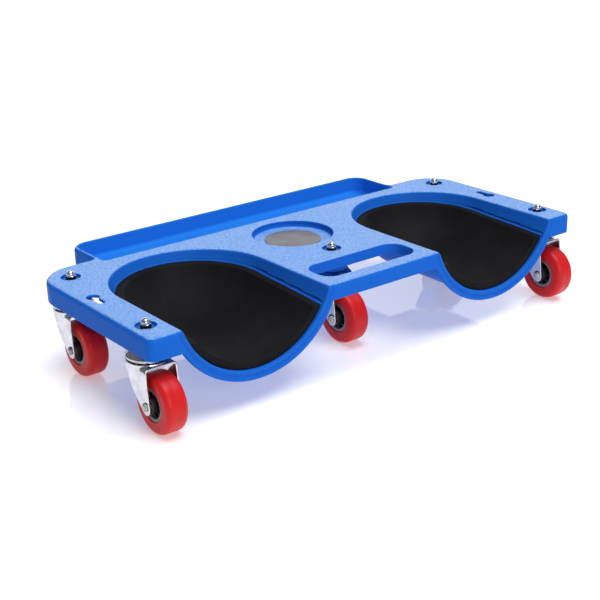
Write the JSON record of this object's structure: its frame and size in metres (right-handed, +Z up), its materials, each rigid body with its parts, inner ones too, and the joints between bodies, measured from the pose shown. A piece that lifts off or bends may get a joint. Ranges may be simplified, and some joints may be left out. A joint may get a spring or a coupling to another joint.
{
  "type": "knee creeper",
  "caption": "Low rolling kneeling board with two padded knee wells, a rear parts tray, a round dish, a handle slot and swivel casters.",
  "frame": {"origin": "on the floor, under the middle of the whole part", "axes": "+X to the right across the two wells, +Y from the open front of the wells towards the tray, +Z up"},
  "size_m": [0.605, 0.3248, 0.1142],
  "materials": {
    "deck_blue": "moulded polypropylene, fine matt texture on the top faces, smooth walls",
    "pad_foam": "closed-cell foam, matt",
    "badge_grey": "satin",
    "cap_chrome": "polished plating",
    "fastener_zinc": "zinc plated",
    "race_zinc": "bright zinc, pressed sheet",
    "ball_steel": "ground steel, greased",
    "fork_zinc": "bright zinc, pressed sheet",
    "sleeve_steel": "turned steel",
    "hub_black": "moulded nylon, satin",
    "tyre_red": "cast polyurethane, glossy"
  },
  "bodies": {
    "deck_body": {"deck": "deck_blue", "knee_pad_left": "pad_foam", "knee_pad_right": "pad_foam", "badge_disc": "badge_grey", "cap_nuts": "cap_chrome", "kingpin_bolts": "fastener_zinc", "left_front_upper_race": "race_zinc", "left_rear_upper_race": "race_zinc", "centre_upper_race": "race_zinc", "right_front_upper_race": "race_zinc", "right_rear_upper_race": "race_zinc"},
    "left_front_caster": {"left_front_balls": "ball_steel", "left_front_fork": "fork_zinc", "left_front_sleeve": "sleeve_steel", "left_front_axle_bolt": "fastener_zinc", "left_front_axle_nut": "fastener_zinc"},
    "left_front_wheel": {"left_front_hub": "hub_black", "left_front_tyre": "tyre_red"},
    "left_rear_caster": {"left_rear_balls": "ball_steel", "left_rear_fork": "fork_zinc", "left_rear_sleeve": "sleeve_steel", "left_rear_axle_bolt": "fastener_zinc", "left_rear_axle_nut": "fastener_zinc"},
    "left_rear_wheel": {"left_rear_hub": "hub_black", "left_rear_tyre": "tyre_red"},
    "centre_caster": {"centre_balls": "ball_steel", "centre_fork": "fork_zinc", "centre_sleeve": "sleeve_steel", "centre_axle_bolt": "fastener_zinc", "centre_axle_nut": "fastener_zinc"},
    "centre_wheel": {"centre_hub": "hub_black", "centre_tyre": "tyre_red"},
    "right_front_caster": {"right_front_balls": "ball_steel", "right_front_fork": "fork_zinc", "right_front_sleeve": "sleeve_steel", "right_front_axle_bolt": "fastener_zinc", "right_front_axle_nut": "fastener_zinc"},
    "right_front_wheel": {"right_front_hub": "hub_black", "right_front_tyre": "tyre_red"},
    "right_rear_caster": {"right_rear_balls": "ball_steel", "right_rear_fork": "fork_zinc", "right_rear_sleeve": "sleeve_steel", "right_rear_axle_bolt": "fastener_zinc", "right_rear_axle_nut": "fastener_zinc"},
    "right_rear_wheel": {"right_rear_hub": "hub_black", "right_rear_tyre": "tyre_red"}
  },
  "joints": [
    {"name": "left_front_swivel", "type": "hinge", "parent": "deck_body", "child": "left_front_caster", "pos_m": [-0.28, -0.11013, 0.0707], "axis": [0, 0, 1], "continuous": true},
    {"name": "left_front_roll", "type": "hinge", "parent": "left_front_caster", "child": "left_front_wheel", "pos_m": [-0.28, -0.13062, 0.03175], "axis": [1, 0, 0], "continuous": true},
    {"name": "left_rear_swivel", "type": "hinge", "parent": "deck_body", "child": "left_rear_caster", "pos_m": [-0.27, 0.06187, 0.0707], "axis": [0, 0, 1], "continuous": true},
    {"name": "left_rear_roll", "type": "hinge", "parent": "left_rear_caster", "child": "left_rear_wheel", "pos_m": [-0.27, 0.04138, 0.03175], "axis": [1, 0, 0], "continuous": true},
    {"name": "centre_swivel", "type": "hinge", "parent": "deck_body", "child": "centre_caster", "pos_m": [0, -0.05262, 0.0707], "axis": [0, 0, 1], "continuous": true},
    {"name": "centre_roll", "type": "hinge", "parent": "centre_caster", "child": "centre_wheel", "pos_m": [0, -0.07312, 0.03175], "axis": [1, 0, 0], "continuous": true},
    {"name": "right_front_swivel", "type": "hinge", "parent": "deck_body", "child": "right_front_caster", "pos_m": [0.28, -0.11013, 0.0707], "axis": [0, 0, 1], "continuous": true},
    {"name": "right_front_roll", "type": "hinge", "parent": "right_front_caster", "child": "right_front_wheel", "pos_m": [0.28, -0.13062, 0.03175], "axis": [1, 0, 0], "continuous": true},
    {"name": "right_rear_swivel", "type": "hinge", "parent": "deck_body", "child": "right_rear_caster", "pos_m": [0.27, 0.06187, 0.0707], "axis": [0, 0, 1], "continuous": true},
    {"name": "right_rear_roll", "type": "hinge", "parent": "right_rear_caster", "child": "right_rear_wheel", "pos_m": [0.27, 0.04138, 0.03175], "axis": [1, 0, 0], "continuous": true}
  ]
}
